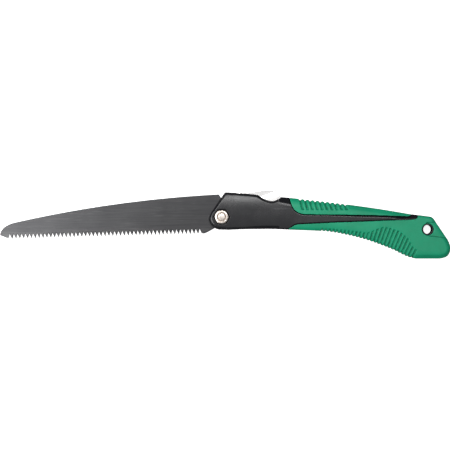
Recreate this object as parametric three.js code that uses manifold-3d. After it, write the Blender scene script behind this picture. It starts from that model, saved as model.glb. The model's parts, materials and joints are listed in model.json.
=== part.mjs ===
// Folding pruning saw, standing for itself as a three.js scene graph.
// X runs along the saw (blade towards -X), Y points up over the blade's spine, Z is the thickness.
// The origin is on the pivot's axis, on the side that the saw lies on. Millimetres.
//
// Inside the model the middle plane of the blade is z = 0; the whole saw is then lifted by half
// its thickness, so that the far side of the grips and the bolt's head rest on z = 0.

import * as THREE from 'three';
import { mergeVertices } from 'three/addons/utils/BufferGeometryUtils.js';
import Module from 'manifold-3d';

const wasm = await Module();
wasm.setup();

// ---------------------------------------------------------------- blade
const BLADE_REACH = 221.3; // pivot to tip, along X
const BLADE_THICKNESS = 1.4;
const SPINE_HEIGHT = 22.5; // spine corner above the pivot
const SPINE_BOW = 4.3; // rise of the spine's curve over its chord
const NOSE_LENGTH = 18.3; // rounded front of the blade
const NOSE_DROP = 4.9; // spine's front end below the pivot
const TIP_DROP = 16.9; // tip below the pivot
const HEEL_TOOTH = [-23.4, -17.3]; // point of the tooth nearest the handle
const TOE_TOOTH_SETBACK = 8.5; // toothless edge between the tip and the teeth
const TOE_TOOTH_DROP = 22.5;
const TOE_EDGE_DROP = 21.5; // end of the toothless edge, a little above the points
const TOOTH_PITCH = 3.9;
const TOOTH_DEPTH = 5.5;
const TOOTH_LEAN = 1.3; // from a tooth's point to the gullet on its handle side
const TANG_RADIUS = 12.5;
const NOTCH_DEPTH = 3;
const NOTCH_ANGLE = 56; // middle of the lock notch, degrees round the pivot
const NOTCH_HALF_ANGLE = 9;
const FOLD_ANGLE = 168; // open to folded

// ---------------------------------------------------------------- handle
const TIP_COVER = 6.4; // butt end beyond the folded blade's tip
const BOLSTER_LENGTH = 67; // pivot to the start of the grips
const BOLSTER_HALF = 8; // half thickness of the bare shells
const GRIP_HALF = 10.5; // half thickness over the grips
const CORE_HALF = 6.5; // half thickness of the shells below the grips
const GRIP_WRAP = 2.2; // grip material outside the shells' edge
const NOSE_RADIUS = 13;
const BOLSTER_ROUND = 1.6;
const GRIP_ROUND = 3;
const SCOOP_BOTTOM = 15.7; // lowest point of the thumb scoop
const BUTT_DROP = 41.5; // underside of the butt below the pivot
const HANG_HOLE_RADIUS = 4.5;
const HANG_RING_WALL = 1.25;
const HANG_HOLE_SETBACK = 22.8; // hang hole to the butt's far end
const HANG_HOLE_DROP = 12.4;
const HANG_RING_DEPTH = 0.9; // ring's face below the grips' face
const RECESS_DEPTH = 1.2; // floor of the lanyard recess below the grips' face

// ---------------------------------------------------------------- liners, pivot and lock
const LINER_THICKNESS = 1.5;
const LINER_INSET = 2.2;
const LINER_END = 57.5;
const WASHER_THICKNESS = 0.45;
const WASHER_RADIUS = 11;
const BOLT_RADIUS = 4;
const SLEEVE_WALL = 0.85;
const HEX_FLATS = 13; // across the flats of the nut and of the bolt's head
const NUT_HEIGHT = 6.5;
const NUT_DEPTH = 0.3; // nut's outer face below the grips' face
const HEAD_HEIGHT = 5.3;
const STOP_PIN = [3.5, 18.5];
const STOP_PIN_RADIUS = 2.5;
const LEVER_PIN = [27, 17];
const LEVER_PIN_RADIUS = 2;
const PIN_COVER = 1.4; // shell left over a pin's end
const LEVER_THICKNESS = 2;
const LEVER_BOSS_RADIUS = 4;
const THUMB_PAD_WIDTH = 8;
const THUMB_PAD_THICKNESS = 1.6;
const LEVER_TAIL = 58.6;
const SPRING_THICKNESS = 0.7;
const SPRING_LENGTH = 32;
const SPRING_SEAT_HEIGHT = 9.9;
const SCREW_RADIUS = 1.5;
const SCREW_HEAD_RADIUS = 2.8;
const SCREW_HEAD_HEIGHT = 2.2;
const SCREW_REACH = 5.5; // screw's point beyond the middle plane

// ---------------------------------------------------------------- clearances
const SEAT_GAP = 0.05; // flat faces that bear on each other
const PARTING_GAP = 0.1; // between the two shells, and between the two sides' grips
const MOULD_GAP = 0.15; // grip to shell
const RUNNING_GAP = 0.15; // pins, sleeve and screws in their holes, on the radius
const HEX_GAP = 0.3; // hexagons in their pockets, on each flat
const MOVING_GAP = 0.4; // lever's nose and tail, stop pin to blade
const SLOT_SIDE_GAP = 0.9; // blade's side to the slot's wall: room for the set of the teeth
const SLOT_TOP_GAP = 1.2; // folded teeth to the top of the slot
const TIP_GAP = 1.5; // folded tip to the end of the slot

// ---------------------------------------------------------------- worked out from the above
const HANDLE_END = BLADE_REACH + TIP_COVER;
const GRIP_LENGTH = HANDLE_END - BOLSTER_LENGTH;
const TIP_RADIUS = Math.hypot(BLADE_REACH, TIP_DROP);
const SLOT_HALF = BLADE_THICKNESS / 2 + SLOT_SIDE_GAP;
const WASHER_INNER = BLADE_THICKNESS / 2 + SEAT_GAP;
const LINER_INNER = WASHER_INNER + WASHER_THICKNESS + SEAT_GAP;
const LINER_OUTER = LINER_INNER + LINER_THICKNESS;
const LEVER_POCKET_END = LEVER_TAIL + 2 * MOVING_GAP;
const PIN_HALF = BOLSTER_HALF - PIN_COVER;
const HANG_HOLE = [HANDLE_END - HANG_HOLE_SETBACK, -HANG_HOLE_DROP];
const HANG_RING_HALF = GRIP_HALF - HANG_RING_DEPTH;
const RECESS_HALF = GRIP_HALF - RECESS_DEPTH;
const NUT_FACE_HALF = GRIP_HALF - NUT_DEPTH;
const SLEEVE_RADIUS = BOLT_RADIUS + RUNNING_GAP + SLEEVE_WALL;
const NOTCH_FLOOR = TANG_RADIUS - NOTCH_DEPTH;
const WIDE = 400; // cutters larger than the saw
const ROUND_SIDES = 40;

const radians = THREE.MathUtils.degToRad;
const point = (x, y) => new THREE.Vector2(x, y);
const polar = (radius, degrees) =>
  point(radius * Math.cos(radians(degrees)), radius * Math.sin(radians(degrees)));

// Station along the grips: 0 at the bolster's end, 1 at the butt's far end.
const along = (share) => BOLSTER_LENGTH + share * GRIP_LENGTH;

// Screw positions, above the folded teeth.
const SCREW_PLACES = [
  [LEVER_POCKET_END + 4.6, 15.2],
  [along(0.205), 8],
  [along(0.467), -0.8],
  [HANG_HOLE[0] - 13, HANG_HOLE[1] + 4.9],
];

// ---------------------------------------------------------------- solid helpers

function toSolid(geometry) {
  const plain = geometry.index ? geometry : geometry.clone();
  plain.deleteAttribute('normal');
  plain.deleteAttribute('uv');
  const merged = mergeVertices(plain, 1e-4);
  const mesh = new wasm.Mesh({
    numProp: 3,
    vertProperties: new Float32Array(merged.attributes.position.array),
    triVerts: new Uint32Array(merged.index.array),
  });
  return new wasm.Manifold(mesh);
}

function toGeometry(solid) {
  const mesh = solid.getMesh();
  const geometry = new THREE.BufferGeometry();
  geometry.setAttribute('position', new THREE.BufferAttribute(mesh.vertProperties, 3));
  geometry.setIndex(new THREE.BufferAttribute(mesh.triVerts, 1));
  geometry.computeVertexNormals();
  return geometry;
}

// Straight-sided solid of an outline, from zLow to zHigh.
function prism(outline, zLow, zHigh) {
  const shape = new THREE.Shape(outline);
  const geometry = new THREE.ExtrudeGeometry(shape, { depth: zHigh - zLow, bevelEnabled: false });
  geometry.translate(0, 0, zLow);
  return toSolid(geometry);
}

// Solid of an outline with rounded edges, the same on both sides of the middle plane.
function roundedSlab(outline, half, round) {
  const shape = new THREE.Shape(outline);
  const geometry = new THREE.ExtrudeGeometry(shape, {
    depth: 2 * (half - round),
    bevelThickness: round,
    bevelSize: round,
    bevelOffset: -round,
    bevelSegments: 3,
  });
  geometry.translate(0, 0, round - half);
  return toSolid(geometry);
}

function cylinder(x, y, radius, zLow, zHigh, sides = ROUND_SIDES) {
  const geometry = new THREE.CylinderGeometry(radius, radius, zHigh - zLow, sides);
  geometry.rotateX(Math.PI / 2);
  geometry.translate(x, y, (zLow + zHigh) / 2);
  return toSolid(geometry);
}

function hexagon(flats, zLow, zHigh) {
  const geometry = new THREE.CylinderGeometry(flats / Math.sqrt(3), flats / Math.sqrt(3), zHigh - zLow, 6);
  geometry.rotateX(Math.PI / 2);
  geometry.rotateZ(Math.PI / 6);
  geometry.translate(0, 0, (zLow + zHigh) / 2);
  return toSolid(geometry);
}

function block(xLow, xHigh, yLow, yHigh, zLow, zHigh) {
  const geometry = new THREE.BoxGeometry(xHigh - xLow, yHigh - yLow, zHigh - zLow);
  geometry.translate((xLow + xHigh) / 2, (yLow + yHigh) / 2, (zLow + zHigh) / 2);
  return toSolid(geometry);
}

const join = (solids) => solids.reduce((sum, solid) => sum.add(solid));
const cut = (solid, cutters) => cutters.reduce((rest, cutter) => rest.subtract(cutter), solid);

// ---------------------------------------------------------------- outline helpers

function counterClockwise(points) {
  const open = points.filter((here, i) => here.distanceTo(points[(i + 1) % points.length]) > 1e-3);
  return THREE.ShapeUtils.isClockWise(open) ? open.reverse() : open;
}

// The outline moved inwards by a distance.
function inset(points, distance) {
  const ring = counterClockwise(points);
  return ring.map((here, i) => {
    const before = ring[(i + ring.length - 1) % ring.length];
    const after = ring[(i + 1) % ring.length];
    const first = here.clone().sub(before).normalize();
    const second = after.clone().sub(here).normalize();
    const normals = point(-first.y - second.y, first.x + second.x);
    return here.clone().addScaledVector(normals, distance / (1 + first.dot(second)));
  });
}

// A strip of even thickness along a centre line.
function ribbon(centreLine, thickness) {
  const sides = centreLine.map((here, i) => {
    const before = centreLine[Math.max(i - 1, 0)];
    const after = centreLine[Math.min(i + 1, centreLine.length - 1)];
    const run = after.clone().sub(before).normalize();
    return point(-run.y, run.x).multiplyScalar(thickness / 2);
  });
  const upper = centreLine.map((here, i) => here.clone().add(sides[i]));
  const lower = centreLine.map((here, i) => here.clone().sub(sides[i]));
  return upper.concat(lower.reverse());
}

// A straight-sided outline whose corners [x, y, radius] are rounded.
function filleted(corners, segments = 4) {
  const points = [];
  corners.forEach(([x, y, radius = 0], i) => {
    const here = point(x, y);
    if (radius === 0) {
      points.push(here);
      return;
    }
    const [beforeX, beforeY] = corners[(i + corners.length - 1) % corners.length];
    const [afterX, afterY] = corners[(i + 1) % corners.length];
    const back = point(beforeX - x, beforeY - y).normalize();
    const on = point(afterX - x, afterY - y).normalize();
    const halfAngle = Math.acos(THREE.MathUtils.clamp(back.dot(on), -1, 1)) / 2;
    const bisector = back.clone().add(on).normalize();
    const centre = here.clone().addScaledVector(bisector, radius / Math.sin(halfAngle));
    const start = here.clone().addScaledVector(back, radius / Math.tan(halfAngle));
    const turn = Math.sign(back.cross(on)) * (Math.PI - 2 * halfAngle);
    for (let step = 0; step <= segments; step++) {
      points.push(start.clone().rotateAround(centre, (-turn * step) / segments));
    }
  });
  return points;
}

function spline(places, divisions) {
  return new THREE.SplineCurve(places.map(([x, y]) => point(x, y))).getPoints(divisions);
}

function arc(radius, fromDegrees, toDegrees, divisions) {
  const step = (toDegrees - fromDegrees) / divisions;
  return Array.from({ length: divisions + 1 }, (_, i) => polar(radius, fromDegrees + i * step));
}

// ---------------------------------------------------------------- outlines

// Teeth from the heel to the toe: each has its gullet on the handle's side, then its point.
function teethPoints() {
  const heel = point(...HEEL_TOOTH);
  const toe = point(TOE_TOOTH_SETBACK - BLADE_REACH, -TOE_TOOTH_DROP);
  const run = toe.clone().sub(heel);
  const count = Math.round(run.length() / TOOTH_PITCH);
  const points = [];
  for (let i = 0; i <= count; i++) {
    const tip = heel.clone().addScaledVector(run, i / count);
    points.push(point(tip.x + TOOTH_LEAN, tip.y + TOOTH_DEPTH));
    points.push(tip);
  }
  points[points.length - 1].y = -TOE_EDGE_DROP;
  return points;
}

function bladeOutline() {
  const spineCorner = point(-2.8, SPINE_HEIGHT);
  const spineFront = point(NOSE_LENGTH - BLADE_REACH, -NOSE_DROP);
  const tip = point(-BLADE_REACH, -TIP_DROP);
  const chord = spineFront.clone().sub(spineCorner);
  const upwards = point(chord.y, -chord.x).normalize();
  const crown = spineCorner.clone().addScaledVector(chord, 0.5).addScaledVector(upwards, 2 * SPINE_BOW);
  const spine = new THREE.QuadraticBezierCurve(spineCorner, crown, spineFront);
  const nose = new THREE.CubicBezierCurve(
    spineFront,
    point(spineFront.x - 7, spineFront.y - 1.45),
    point(tip.x + 2.4, tip.y + 8.3),
    tip,
  );
  const tang = arc(TANG_RADIUS, 72, -120, 40);
  const teeth = teethPoints();
  const [heelX, heelY] = HEEL_TOOTH;
  const heel = filleted(
    [
      [-6.2, -10.8],
      [heelX + 8.6, heelY + 1.7, 1.4],
      [heelX + 6, heelY + 0.6, 1.4],
      [heelX + 3.3, heelY + 1, 1.2],
      [teeth[0].x, teeth[0].y],
    ],
    3,
  );
  return [
    ...nose.getPoints(16).reverse(),
    ...spine.getPoints(24).reverse(),
    ...tang,
    ...heel.slice(0, -1),
    ...teeth,
    point(tip.x + 1.1, tip.y - 1.9),
    point(tip.x + 0.2, tip.y - 1.1),
  ];
}

// Side view of the bolster and handle together, clockwise from the nose's underside.
function bodyOutline() {
  const butt = HANDLE_END;
  return [
    ...arc(NOSE_RADIUS, 257, 190, 10),
    ...new THREE.QuadraticBezierCurve(point(-12.5, 0), point(-11.6, 2.6), point(-9.2, 6.2)).getPoints(4),
    ...filleted([[-9.2, 6.2], [3.2, 24.6, 2.4], [16, 24]]).slice(1),
    point(30.6, 22.7),
    ...spline([[36, 21.9], [42.9, 17.6], [50.4, SCOOP_BOTTOM], [56.6, 17.8], [59, 19.7]], 14),
    ...spline([[66.6, 19.2], [along(0.22), 15.3], [along(0.52), 8.9], [along(0.744), 3]], 14),
    ...filleted([[butt - 30, 1.2], [butt - 18.2, 0.2, 5], [butt - 2.8, -22.6]]).slice(1, -1),
    ...spline(
      [
        [butt - 2.8, -22.6],
        [butt - 0.5, -28],
        [butt, -33],
        [butt - 3.4, -39.3],
        [butt - 10.5, -BUTT_DROP],
      ],
      14,
    ),
    ...spline(
      [
        [butt - 34.6, -BUTT_DROP],
        [butt - 41.2, -40],
        [butt - 47.1, -37.5],
        [along(0.632), -31.7],
        [along(0.483), -22.9],
        [along(0.333), -17],
        [along(0.222), -14.3],
        [along(0.072), -13.1],
      ],
      28,
    ),
    ...spline([[BOLSTER_LENGTH, -12.7], [48.6, -12], [24.6, -12.2], [6.6, -12.9]], 8),
  ];
}

// The handle alone, which the grips are rounded from.
function gripOutline() {
  const whole = bodyOutline();
  return whole.filter((place) => place.x > LEVER_POCKET_END);
}

// Area of the upper grip; it runs past the handle's top edge.
function upperGripArea() {
  return [
    ...spline([[67.6, 18.7], [69.6, 11.6], [72.4, 7], [76.5, 4], [82, 2.5]], 10),
    ...spline([[along(0.17), 2.4], [along(0.445), 1.9], [along(0.6), 1.3], [along(0.735), 0.5]], 8),
    point(along(0.755), 1.6),
    point(along(0.79), 14),
    point(along(0.5), 40),
    point(66.4, 40),
  ];
}

// Area of the lower grip, which also wraps the butt; it runs past the handle's edges.
function lowerGripArea() {
  return [
    point(along(-0.05), -16.6),
    ...filleted([[along(-0.02), -14.2], [along(0.042), -7.4, 8], [along(0.3), -5.3]]).slice(1, -1),
    ...spline([[along(0.3), -5.3], [along(0.445), -4.6], [along(0.6), -3.5], [along(0.75), -2.7]], 8),
    ...spline([[along(0.782), -2.1], [along(0.795), -0.4], [along(0.802), 4]], 5),
    point(along(0.85), 30),
    point(HANDLE_END + 40, 30),
    point(HANDLE_END + 40, -90),
    point(along(-0.05), -90),
  ];
}

// Lever seen from the side, clockwise from its nose. The nose ends just above the tang's rim.
function leverOutline() {
  const noseFace = arc(TANG_RADIUS + MOVING_GAP, NOTCH_ANGLE - 6, NOTCH_ANGLE + 6, 3);
  const [pinX, pinY] = LEVER_PIN;
  const boss = [250, 270, 290].map((angle) => polar(LEVER_BOSS_RADIUS, angle).add(point(pinX, pinY)));
  return [
    ...noseFace,
    ...filleted([[7.2, 15], [8.4, 23.2, 1.2], [14, 24.2], [24, 24.35]]),
    ...spline([[26.8, 24.8], [34, 25.9], [41, 27.2], [47, 27.7], [52.6, 27.6]], 8),
    ...filleted([[52.6, 27.6], [56.2, 27, 2.2], [LEVER_TAIL, 20.3, 2], [LEVER_TAIL - 0.4, 14.6, 1.5], [44, 14]])
      .slice(1),
    point(31.5, 13.9),
    ...boss.reverse(),
    ...filleted([[22.6, 15], [10.4, 15, 1.5], [9.2, 11.4]]),
  ];
}

// ---------------------------------------------------------------- blade

function lockNotch(middleAngle) {
  const low = middleAngle - NOTCH_HALF_ANGLE;
  const high = middleAngle + NOTCH_HALF_ANGLE;
  const mouth = [polar(TANG_RADIUS + 2, low), polar(TANG_RADIUS + 2, high)];
  const floor = [polar(NOTCH_FLOOR, high - 2), polar(NOTCH_FLOOR, low + 2)];
  return prism([...mouth, ...floor], -BLADE_THICKNESS, BLADE_THICKNESS);
}

function blade() {
  const plate = prism(bladeOutline(), -BLADE_THICKNESS / 2, BLADE_THICKNESS / 2);
  const pivotHole = cylinder(0, 0, SLEEVE_RADIUS + RUNNING_GAP, -BLADE_THICKNESS, BLADE_THICKNESS);
  return cut(plate, [pivotHole, lockNotch(NOTCH_ANGLE), lockNotch(NOTCH_ANGLE - FOLD_ANGLE)]);
}

// ---------------------------------------------------------------- shells and grips

// Room for the folded blade: below the folded teeth and inside the circle of the tip.
function bladeSlot() {
  const turn = (place) => place.clone().rotateAround(point(0, 0), radians(FOLD_ANGLE));
  const heel = turn(point(...HEEL_TOOTH));
  const toe = turn(point(TOE_TOOTH_SETBACK - BLADE_REACH, -TOE_TOOTH_DROP));
  const run = toe.clone().sub(heel).normalize();
  const lift = point(-run.y, run.x).multiplyScalar(SLOT_TOP_GAP);
  const left = heel.clone().addScaledVector(run, -WIDE / 2).add(lift);
  const right = toe.clone().addScaledVector(run, WIDE / 2).add(lift);
  const below = prism([left, right, point(WIDE, -WIDE), point(-WIDE, -WIDE)], -SLOT_HALF, SLOT_HALF);
  return below.intersect(cylinder(0, 0, TIP_RADIUS + TIP_GAP, -SLOT_HALF, SLOT_HALF, 120));
}

// The bolster's middle is open at the front, top and underside for the tang and the lever.
function bolsterSlot() {
  return block(-WIDE, LEVER_POCKET_END, -WIDE, WIDE, -SLOT_HALF, SLOT_HALF);
}

function springSlot() {
  const half = SPRING_THICKNESS / 2 + MOVING_GAP;
  const end = springEnd() + MOVING_GAP;
  const low = SPRING_SEAT_HEIGHT - half;
  const high = SPRING_SEAT_HEIGHT + half;
  return block(LEVER_POCKET_END - 1, end, low, high, -SLOT_HALF, SLOT_HALF);
}

function linerOutline(extra) {
  return inset(bodyOutline(), LINER_INSET - extra);
}

function linerPocket() {
  const whole = prism(linerOutline(MOULD_GAP), -LINER_OUTER - SEAT_GAP, LINER_OUTER + SEAT_GAP);
  return whole.intersect(block(-WIDE, LINER_END + MOULD_GAP, -WIDE, WIDE, -WIDE, WIDE));
}

function shellCutters() {
  const pins = [
    cylinder(...STOP_PIN, STOP_PIN_RADIUS + RUNNING_GAP, -PIN_HALF - SEAT_GAP, PIN_HALF + SEAT_GAP),
    cylinder(...LEVER_PIN, LEVER_PIN_RADIUS + RUNNING_GAP, -PIN_HALF - SEAT_GAP, PIN_HALF + SEAT_GAP),
  ];
  const pocketFlats = HEX_FLATS + 2 * HEX_GAP;
  const nutFloor = NUT_FACE_HALF - NUT_HEIGHT - SEAT_GAP;
  const headFloor = GRIP_HALF - HEAD_HEIGHT - SEAT_GAP;
  return [
    bladeSlot(),
    bolsterSlot(),
    springSlot(),
    linerPocket(),
    ...pins,
    cylinder(0, 0, BOLT_RADIUS + RUNNING_GAP, -WIDE, WIDE),
    hexagon(pocketFlats, nutFloor, WIDE),
    hexagon(pocketFlats, -WIDE, -headFloor),
    cylinder(...HANG_HOLE, HANG_HOLE_RADIUS, -WIDE, WIDE),
    ...SCREW_PLACES.flatMap(screwHole),
  ];
}

const screwSeat = (i) => (i === 0 ? BOLSTER_HALF : CORE_HALF) - 0.4 - SCREW_HEAD_HEIGHT;

function screwHole([x, y], i) {
  const shank = cylinder(x, y, SCREW_RADIUS + RUNNING_GAP, -WIDE, SCREW_REACH + MOVING_GAP, 24);
  const head = cylinder(x, y, SCREW_HEAD_RADIUS + MOVING_GAP, -WIDE, SEAT_GAP - screwSeat(i), 24);
  return [shank, head];
}

// Both shells in one, before they are parted at the middle plane.
function shellPair() {
  const bare = cut(roundedSlab(bodyOutline(), BOLSTER_HALF, BOLSTER_ROUND), [
    prism(upperGripArea(), -WIDE, WIDE),
    prism(lowerGripArea(), -WIDE, WIDE),
  ]);
  const core = prism(inset(gripOutline(), GRIP_WRAP), -CORE_HALF, CORE_HALF);
  const ring = cylinder(...HANG_HOLE, HANG_HOLE_RADIUS + HANG_RING_WALL, -HANG_RING_HALF, HANG_RING_HALF);
  return cut(join([bare, core, ring]), shellCutters());
}

// Room in the grips for the shells' core, the hang hole's ring and the screws.
function gripCutters() {
  const coreHalf = CORE_HALF + MOULD_GAP;
  const ringRadius = HANG_HOLE_RADIUS + HANG_RING_WALL + MOULD_GAP;
  const screwHeads = SCREW_PLACES.map(([x, y]) =>
    cylinder(x, y, SCREW_HEAD_RADIUS + MOVING_GAP, -WIDE, 0, 24),
  );
  return [
    prism(inset(gripOutline(), GRIP_WRAP - MOULD_GAP), -coreHalf, coreHalf),
    bladeSlot(),
    cylinder(...HANG_HOLE, ringRadius, -WIDE, WIDE),
    ...lanyardRecess(),
    ...screwHeads,
  ];
}

// Shallow flat on each side, from the hang hole out to the butt's end face.
function lanyardRecess() {
  const [holeX, holeY] = HANG_HOLE;
  const outline = filleted(
    [
      [holeX - 1.8, holeY - 6.4, 2],
      [holeX - 1.8, holeY + 7.3, 2],
      [holeX + 40, holeY + 7.3],
      [holeX + 40, holeY - 11.2],
    ],
    3,
  );
  return [prism(outline, RECESS_HALF, WIDE), prism(outline, -WIDE, -RECESS_HALF)];
}

function gripPair(area) {
  const body = roundedSlab(gripOutline(), GRIP_HALF, GRIP_ROUND);
  return cut(body.intersect(prism(inset(area, MOULD_GAP), -WIDE, WIDE)), gripCutters());
}

// One side of a pair: +1 the near side, -1 the far side.
function sideOf(pair, side) {
  const low = side > 0 ? PARTING_GAP / 2 : -WIDE;
  const high = side > 0 ? WIDE : -PARTING_GAP / 2;
  return pair.intersect(block(-WIDE, WIDE, -WIDE, WIDE, low, high));
}

function liner(side) {
  const low = side > 0 ? LINER_INNER : -LINER_OUTER;
  const high = side > 0 ? LINER_OUTER : -LINER_INNER;
  const plate = prism(linerOutline(0), low, high);
  const end = block(LINER_END, WIDE, -WIDE, WIDE, -WIDE, WIDE);
  return cut(plate, [
    end,
    cylinder(0, 0, BOLT_RADIUS + RUNNING_GAP, -WIDE, WIDE),
    cylinder(...STOP_PIN, STOP_PIN_RADIUS + RUNNING_GAP, -WIDE, WIDE),
    cylinder(...LEVER_PIN, LEVER_PIN_RADIUS + RUNNING_GAP, -WIDE, WIDE),
  ]);
}

// ---------------------------------------------------------------- pivot

// Keeps the outer corners of a hexagon below a 30 degree cone.
function hexChamfer(zFace, zFar) {
  const faceRadius = (0.95 * HEX_FLATS) / 2;
  const outwards = Math.sign(zFace - zFar);
  const slope = Math.tan(radians(30));
  const wide = HEX_FLATS;
  const profile = [
    point(0, zFar),
    point(wide, zFar),
    point(wide, zFace - outwards * (wide - faceRadius) * slope),
    point(faceRadius, zFace),
    point(0, zFace),
  ];
  const rising = outwards > 0 ? profile : profile.reverse();
  const geometry = new THREE.LatheGeometry(rising, 48);
  geometry.rotateX(Math.PI / 2);
  return toSolid(geometry);
}

function pivotBolt() {
  const face = -GRIP_HALF;
  const head = hexagon(HEX_FLATS, face, face + HEAD_HEIGHT).intersect(hexChamfer(face, face + HEAD_HEIGHT + 12));
  const shank = cylinder(0, 0, BOLT_RADIUS, face + 1, NUT_FACE_HALF + 0.2);
  return head.add(shank);
}

function pivotNut() {
  const body = hexagon(HEX_FLATS, NUT_FACE_HALF - NUT_HEIGHT, NUT_FACE_HALF);
  const shaped = body.intersect(hexChamfer(NUT_FACE_HALF, NUT_FACE_HALF - NUT_HEIGHT - 12));
  return shaped.subtract(cylinder(0, 0, BOLT_RADIUS + RUNNING_GAP, -WIDE, WIDE));
}

function tube(outerRadius, innerRadius, length) {
  const outer = cylinder(0, 0, outerRadius, -length / 2, length / 2);
  return outer.subtract(cylinder(0, 0, innerRadius, -length, length));
}

const pivotSleeve = () => tube(SLEEVE_RADIUS, BOLT_RADIUS + RUNNING_GAP, 2 * (LINER_INNER - SEAT_GAP));
const thrustWasher = () => tube(WASHER_RADIUS, SLEEVE_RADIUS + RUNNING_GAP, WASHER_THICKNESS);

// ---------------------------------------------------------------- lock

function lockLever() {
  const half = LEVER_THICKNESS / 2;
  const plate = prism(leverOutline(), -half, half);
  const padLine = spline([[38, 26.7], [41, 27.2], [47, 27.7], [52.6, 27.6], [54.6, 27.1]], 8);
  const lowered = padLine.map((place) => place.clone().add(point(0, -THUMB_PAD_THICKNESS / 2)));
  const padHalf = THUMB_PAD_WIDTH / 2;
  const pad = prism(ribbon(lowered, THUMB_PAD_THICKNESS), -padHalf, padHalf);
  const pinHole = cylinder(...LEVER_PIN, LEVER_PIN_RADIUS + RUNNING_GAP, -WIDE, WIDE);
  return plate.add(pad).subtract(pinHole);
}

const springEnd = () => LEVER_TAIL - 12.6 + SPRING_LENGTH;

// Leaf spring: its rear end is held in the shells, its front end presses up under the lever's tail.
function lockSpring() {
  const tail = point(LEVER_TAIL - 12.6, 14 - MOVING_GAP - SPRING_THICKNESS / 2);
  const seat = point(LEVER_POCKET_END + 1.6, SPRING_SEAT_HEIGHT);
  const bend = new THREE.QuadraticBezierCurve(tail, point(tail.x + 6, SPRING_SEAT_HEIGHT + 0.4), seat);
  const centreLine = [...bend.getPoints(8), point(springEnd(), SPRING_SEAT_HEIGHT)];
  const half = LEVER_THICKNESS / 2;
  return prism(ribbon(centreLine, SPRING_THICKNESS), -half, half);
}

// ---------------------------------------------------------------- pins and screws

function pinGeometry(radius) {
  const chamfer = 0.4;
  const profile = [
    point(0, -PIN_HALF),
    point(radius - chamfer, -PIN_HALF),
    point(radius, chamfer - PIN_HALF),
    point(radius, PIN_HALF - chamfer),
    point(radius - chamfer, PIN_HALF),
    point(0, PIN_HALF),
  ];
  const geometry = new THREE.LatheGeometry(profile, ROUND_SIDES);
  geometry.rotateX(Math.PI / 2);
  return toGeometry(toSolid(geometry));
}

// Pan-head screw, driven from the far side; z = 0 is the seat of its head.
function screwGeometry(i) {
  const length = screwSeat(i) + SCREW_REACH;
  const profile = [
    point(0, -SCREW_HEAD_HEIGHT),
    point(0.6 * SCREW_HEAD_RADIUS, -SCREW_HEAD_HEIGHT),
    point(0.9 * SCREW_HEAD_RADIUS, -0.7 * SCREW_HEAD_HEIGHT),
    point(SCREW_HEAD_RADIUS, -0.3 * SCREW_HEAD_HEIGHT),
    point(SCREW_HEAD_RADIUS, 0),
    point(SCREW_RADIUS, 0),
    point(SCREW_RADIUS, length - 1.5),
    point(0, length),
  ];
  const geometry = new THREE.LatheGeometry(profile, 24);
  geometry.rotateX(Math.PI / 2);
  return toGeometry(toSolid(geometry));
}

// ---------------------------------------------------------------- finishes and assembly

const finishes = {
  bladeSteel: { color: 0x6a6a6c, roughness: 0.45, metalness: 0.8 },
  nylon: { color: 0x2b2c2f, roughness: 0.5, metalness: 0 },
  grip: { color: 0x129a66, roughness: 0.65, metalness: 0 },
  polished: { color: 0xf0eeec, roughness: 0.12, metalness: 1 },
  plated: { color: 0xe2dad4, roughness: 0.25, metalness: 1 },
  linerSteel: { color: 0x8f9093, roughness: 0.4, metalness: 1 },
  bronze: { color: 0xb08a4e, roughness: 0.4, metalness: 1 },
  springSteel: { color: 0x5c6068, roughness: 0.3, metalness: 1 },
};

const saw = new THREE.Group();
saw.position.z = GRIP_HALF;

function place(name, geometry, finish, x = 0, y = 0, z = 0) {
  const mesh = new THREE.Mesh(geometry, new THREE.MeshStandardMaterial(finishes[finish]));
  mesh.name = name;
  mesh.position.set(x, y, z);
  saw.add(mesh);
}

place('blade', toGeometry(blade()), 'bladeSteel');

const shells = shellPair();
const upperGrips = gripPair(upperGripArea());
const lowerGrips = gripPair(lowerGripArea());
for (const [word, side] of [['near', 1], ['far', -1]]) {
  place(`handle_shell_${word}`, toGeometry(sideOf(shells, side)), 'nylon');
  place(`upper_grip_${word}`, toGeometry(sideOf(upperGrips, side)), 'grip');
  place(`lower_grip_${word}`, toGeometry(sideOf(lowerGrips, side)), 'grip');
  place(`liner_plate_${word}`, toGeometry(liner(side)), 'linerSteel');
  const washerMiddle = side * (WASHER_INNER + WASHER_THICKNESS / 2);
  place(`thrust_washer_${word}`, toGeometry(thrustWasher()), 'bronze', 0, 0, washerMiddle);
}

place('pivot_bolt', toGeometry(pivotBolt()), 'plated');
place('pivot_nut', toGeometry(pivotNut()), 'plated');
place('pivot_sleeve', toGeometry(pivotSleeve()), 'bronze');
place('stop_pin', pinGeometry(STOP_PIN_RADIUS), 'plated', ...STOP_PIN);
place('lever_pin', pinGeometry(LEVER_PIN_RADIUS), 'plated', ...LEVER_PIN);
place('lock_lever', toGeometry(lockLever()), 'polished');
place('lock_spring', toGeometry(lockSpring()), 'springSteel');
SCREW_PLACES.forEach(([x, y], i) => {
  place(`handle_screw_${i + 1}`, screwGeometry(i), 'plated', x, y, -screwSeat(i));
});

export default saw;
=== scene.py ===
# %% [markdown]
# A folding pruning saw lies open on its side. A coated steel blade turns on a bolt at the front of a
# black moulded handle, green soft grips are moulded over the handle, and a bright lever locks the
# blade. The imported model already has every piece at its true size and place, so it is loaded first
# and never moved. What is added here is what a machine shop and a mould would add: ground teeth,
# ribs, rounded skins, chamfers and finishes.

import json
import math

import bmesh
import bpy
import numpy as np
from mathutils import Matrix, Vector
from mathutils.kdtree import KDTree

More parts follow.
